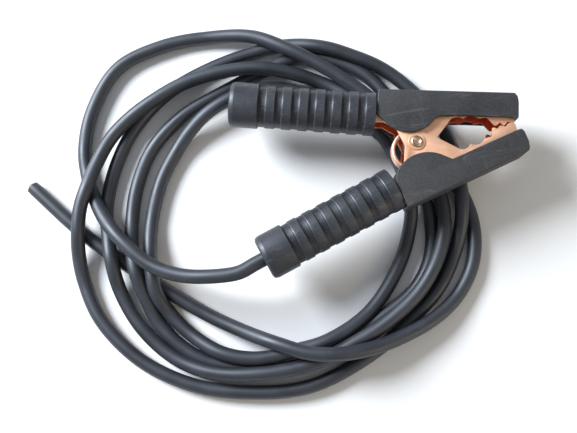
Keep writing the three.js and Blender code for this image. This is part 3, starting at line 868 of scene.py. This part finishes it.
def add_cover(arm):
    """A moulded cover: rounded outside, hollow, and open towards the other jaw."""
    shell = prism(outline(arm["cover"], arm["side"]), -COVER_HALF, COVER_HALF)
    round_edges(shell, COVER_ROUND, 4, angle=25)
    room_outline = [
        under_back(arm, ROOM_REAR_X, COVER_WALL), under_back(arm, ROOM_FRONT_X, COVER_WALL),
        (JAW_TIP_X, ROOM_RIM_Y), (JAW_TIP_X, ROOM_OPEN_Y), (ROOM_REAR_X, ROOM_OPEN_Y)]
    half = COVER_HALF - COVER_WALL
    room = prism(outline(room_outline, arm["side"]), -half, half)
    name = arm["name"] + "_jaw_cover"
    shape = cut(shell, room)
    piece(name + "_moulding", shape, [BLACK_MOULDING], arm["body"], [name])


# ---------------------------------------------------------------- grips


def ribbed_profile(front):
    """Half section of a sleeve's outside, from its collar forward over the saw-tooth ribs."""
    low = RIB_RADIUS - GROOVE_DEPTH
    profile = [(COLLAR_RADIUS, 3.5), (COLLAR_RADIUS, COLLAR_LENGTH)]
    for i in range(RIBS):
        start = FIRST_GROOVE + i * RIB_PITCH
        crest = start + GROOVE_WIDTH
        profile += [(RIB_RADIUS, start), (low, start + 0.3), (low + 0.3, crest - 0.3)]
        profile += [(RIB_RADIUS - 0.4, crest), (RIB_RADIUS, crest + 0.9)]
    return [*profile, (RIB_RADIUS, front - 0.4), (RIB_RADIUS - 0.4, front), (RIB_RADIUS - 4, front)]


def flatten_sides(sleeve):
    """Makes a sleeve oval, and its grooves shallower towards its narrow sides."""
    for vert in sleeve.verts:
        x, y, z = vert.co
        reach = math.hypot(x, z)
        depth = RIB_RADIUS - reach
        if y > COLLAR_LENGTH and 0 < depth < GROOVE_DEPTH + 0.1 and y < GRIP_LENGTH - 1:
            share = GROOVE_LEAST + (1 - GROOVE_LEAST) * (z / reach) ** 2
            x, z = (value * (RIB_RADIUS - depth * share) / reach for value in (x, z))
        vert.co = (x, y, z * GRIP_SQUASH)


def grip_mouth(arm):
    """The opening at the front of a sleeve, where the handle goes in."""
    outwards = -arm["side"]
    reach = max(WEB_OUT, arm["mouth"]) + CLEAR
    low, high = sorted((outwards * (WEB_OUT + CLEAR), -outwards * reach))
    far = arm["front"] + 1
    corners = [(low, END_WALL), (high, END_WALL), (high, far), (low, far)]
    return prism([Vector(c) for c in corners], -arm["half"] - CLEAR, arm["half"] + CLEAR)


def add_grip(arm):
    """A ribbed sleeve with the fine line where its mould parted."""
    bore = CABLE_DIAMETER / MM / 2 + CLEAR
    r = COLLAR_RADIUS
    end_face = [(bore, END_WALL), (bore, 0.8), (bore + 0.8, 0), (r - 3, 0), (r - 0.9, 1)]
    half_section = softened([*end_face, *ribbed_profile(arm["front"])], 0.25)
    sleeve = turned([(0, END_WALL), *half_section, (0, arm["front"])], 96, closed=False)
    flatten_sides(sleeve)
    shape = join([cut(sleeve, grip_mouth(arm)), parting_line(arm)])
    name = arm["name"] + "_grip"
    piece(
        name + "_sleeve", shape, [GRIP_RUBBER], arm["body"], [name],
        place=handle_place(arm), crease=50)


def parting_line(arm):
    """A thin raised line along the crests of the ribs, a little towards the inner side."""
    turn = math.radians(90 - arm["side"] * PARTING_LINE_TURN)
    reach = RIB_RADIUS - 0.12
    x, z = reach * math.cos(turn), reach * math.sin(turn) * GRIP_SQUASH
    radius = PARTING_LINE_RADIUS
    lines = []
    for i in range(RIBS):
        start = FIRST_GROOVE + i * RIB_PITCH + GROOVE_WIDTH + 1.2
        ends = [Vector((x, y, z)) for y in (start, start + PARTING_LINE_LENGTH)]
        lines.append(tube(ends, [(0, radius), (1, radius)], 6))
    return join(lines)


# ---------------------------------------------------------------- pivot


def add_rivet():
    """A rivet headed on both sides, with a reddish dimple in each head."""
    shape = turned(softened(rivet_profile(), 0.4, 4), closed=False)
    for face in shape.faces:
        centre = face.calc_center_median()
        in_dimple = math.hypot(centre.x, centre.z) < RIVET_DIMPLE_RADIUS + 0.2
        face.material_index = int(in_dimple)
    piece(
        "pivot_rivet_headed", shape, [STEEL, BARE_COPPER], "lower_body", ["pivot_rivet"],
        place=on_pivot())


def rivet_profile():
    """Half section of the rivet, from the floor of one dimple to that of the other."""
    seat = LOWER_HALF + RUNNING_FIT + WASHER_THICKNESS + RUNNING_FIT
    radius, rim = RIVET_HEAD_RADIUS, RIVET_DIMPLE_RADIUS
    top = seat + RIVET_HEAD_HEIGHT
    floor = top - RIVET_DIMPLE_DEPTH
    head = [(SHANK_RADIUS, seat), (radius - 0.2, seat), (radius, seat + 0.3)]
    head += [(radius - 0.15, seat + 0.9), (radius - 0.9, top)]
    dimple = [(rim + 0.9, top), (rim + 0.3, seat + 0.9), (rim, floor), (0, floor)]
    half = head + dimple
    return [(r, -y) for r, y in reversed(half)] + half


def on_pivot(face=1):
    """The place of a body turned about Y that sits on the pivot, on that face of the clamp."""
    return CLAMP @ Matrix.Rotation(face * math.pi / 2, 4, "X")


def turned_ring(profile, soft):
    """A ring from a closed profile with softened corners. The first corner stays sharp."""
    return turned(softened([*profile, profile[0]], soft)[:-1])


def add_rivet_washer(name, face):
    """A washer under one of the rivet's heads."""
    near = LOWER_HALF + RUNNING_FIT
    inner, outer = SHANK_RADIUS + RUNNING_FIT, WASHER_RADIUS
    far = near + WASHER_THICKNESS
    profile = [(inner, near), (outer, near), (outer, far), (outer - 1, far), (inner, far)]
    piece(
        name + "_ring", turned_ring(profile, 0.3), [COPPER_PLATE], "lower_body",
        [name], place=on_pivot(face))


def add_bush():
    """The spacer between the arms."""
    half = UPPER_HALF - SHEET - RUNNING_FIT
    inner, outer = SHANK_RADIUS + RUNNING_FIT, BUSH_RADIUS
    profile = [(inner, -half), (outer, -half), (outer, half), (inner, half)]
    piece(
        "pivot_bush_turned", turned_ring(profile, 0.4), [STEEL], "lower_body",
        ["pivot_bush"], place=on_pivot())


# ---------------------------------------------------------------- spring


def leg_foot(arm):
    """Where a leg of the spring bears on the web of its arm."""
    x, y = on_handle(arm, LEG_DEPTH, WEB_OUT - SHEET - CLEAR - WIRE / 2)
    return Vector((x, arm["side"] * y))


def leg_turn(arm):
    """The angle on the coil where a leg leaves it in a straight line to its foot."""
    run = leg_foot(arm) - Vector((COIL_X, COIL_Y))
    return math.atan2(run.y, run.x) - arm["side"] * math.acos(COIL_RADIUS / run.length)


def coil_line():
    """The middle line of the coil, from where the lower leg meets it to where the upper one does."""
    start, end = leg_turn(LOWER), leg_turn(UPPER) + 2 * math.pi * COIL_TURNS
    steps = 40 * COIL_TURNS
    line = []
    for k in range(steps + 1):
        turn = start + (end - start) * k / steps
        x = COIL_X + COIL_RADIUS * math.cos(turn)
        y = COIL_Y + COIL_RADIUS * math.sin(turn)
        line.append(Vector((x, y, COIL_HALF_WIDTH * (2 * k / steps - 1))))
    return line


def add_spring():
    """The torsion spring: one wire from the lower leg's foot round the coil to the upper leg's foot,
    on no body.
    """
    coil = coil_line()
    low, high = leg_foot(LOWER).to_3d(), leg_foot(UPPER).to_3d()
    low.z, high.z = coil[0].z, coil[-1].z
    shares = [k / 10 for k in range(10)]
    lower_leg = [low.lerp(coil[0], t) for t in shares]
    upper_leg = [high.lerp(coil[-1], t) for t in reversed(shares)]
    path = lower_leg + coil + upper_leg
    last = len(path) - 1
    r = WIRE / 2
    stations = [(0, r - 0.3), *((k, r) for k in range(1, last)), (last, r - 0.3)]
    spring = piece(
        "torsion_spring_wire", tube(path, stations, 16), [SPRING_WIRE], None,
        ["torsion_spring"])
    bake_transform(spring)


# ---------------------------------------------------------------- cable joint inside the lower grip

FIXING_EDGE = 0.00015  # rounding of the fixings' edges, in metres


def finish_fixings():
    """The lug, its fixings and the conductor keep their CAD shapes, with real surfaces."""
    looks = {
        "cable_conductor": BARE_COPPER, "cable_lug": BARE_COPPER, "lug_bolt": STEEL,
        "lug_flat_washer": STEEL, "lug_spring_washer": STEEL, "lug_nut": STEEL,
    }
    for name, look in looks.items():
        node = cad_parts[name]
        node.data.materials.clear()
        node.data.materials.append(look)
        edge = node.modifiers.new("broken_edges", "BEVEL")
        edge.width = FIXING_EDGE
        edge.segments = 2
        edge.limit_method = "ANGLE"


# ---------------------------------------------------------------- floor and light


def add_floor():
    """The pale surface that the clamp and its cable lie on."""
    material = bpy.data.materials.new("floor")
    material.use_nodes = True
    shader = material.node_tree.nodes["Principled BSDF"]
    shader.inputs["Base Color"].default_value = (0.9, 0.9, 0.9, 1)
    shader.inputs["Roughness"].default_value = 0.9
    shape = bmesh.new()
    bmesh.ops.create_grid(shape, x_segments=1, y_segments=1, size=3)
    mesh = bpy.data.meshes.new("floor")
    shape.to_mesh(mesh)
    shape.free()
    mesh.materials.append(material)
    floor = bpy.data.objects.new("floor", mesh)
    floor.location.z = FLOOR_Z
    bpy.context.scene.collection.objects.link(floor)


def add_light(name, place, size, power, colour):
    """A round soft light that faces the origin."""
    data = bpy.data.lights.new(name, "AREA")
    data.shape = "DISK"
    data.size = size
    data.energy = power
    data.color = colour
    light = bpy.data.objects.new(name, data)
    light.location = place
    light.rotation_euler = (-Vector(place)).to_track_quat("-Z", "Y").to_euler()
    bpy.context.scene.collection.objects.link(light)


def light_the_studio():
    """Cool daylight from a window at the upper left, and a weak warm fill from the lower right."""
    world = bpy.data.worlds.new("studio")
    world.use_nodes = True
    backdrop = world.node_tree.nodes["Background"]
    backdrop.inputs["Color"].default_value = (0.93, 0.96, 1.0, 1)
    backdrop.inputs["Strength"].default_value = 0.33
    bpy.context.scene.world = world
    bpy.context.scene.view_settings.view_transform = "Standard"
    add_light("window", (-1.1, 0.9, 0.95), size=0.8, power=58, colour=(0.87, 0.93, 1.0))
    add_light("fill", (0.9, -1.0, 0.7), size=0.8, power=5, colour=(1.0, 0.82, 0.55))


# ---------------------------------------------------------------- the scene

add_camera()
add_cable()
add_arm(UPPER)
add_arm(LOWER, [crimp_collar()])
add_cover(UPPER)
add_cover(LOWER)
add_grip(UPPER)
add_grip(LOWER)
add_rivet()
add_rivet_washer("rivet_washer_top", 1)
add_rivet_washer("rivet_washer_bottom", -1)
add_bush()
add_spring()
finish_fixings()
add_floor()
light_the_studio()
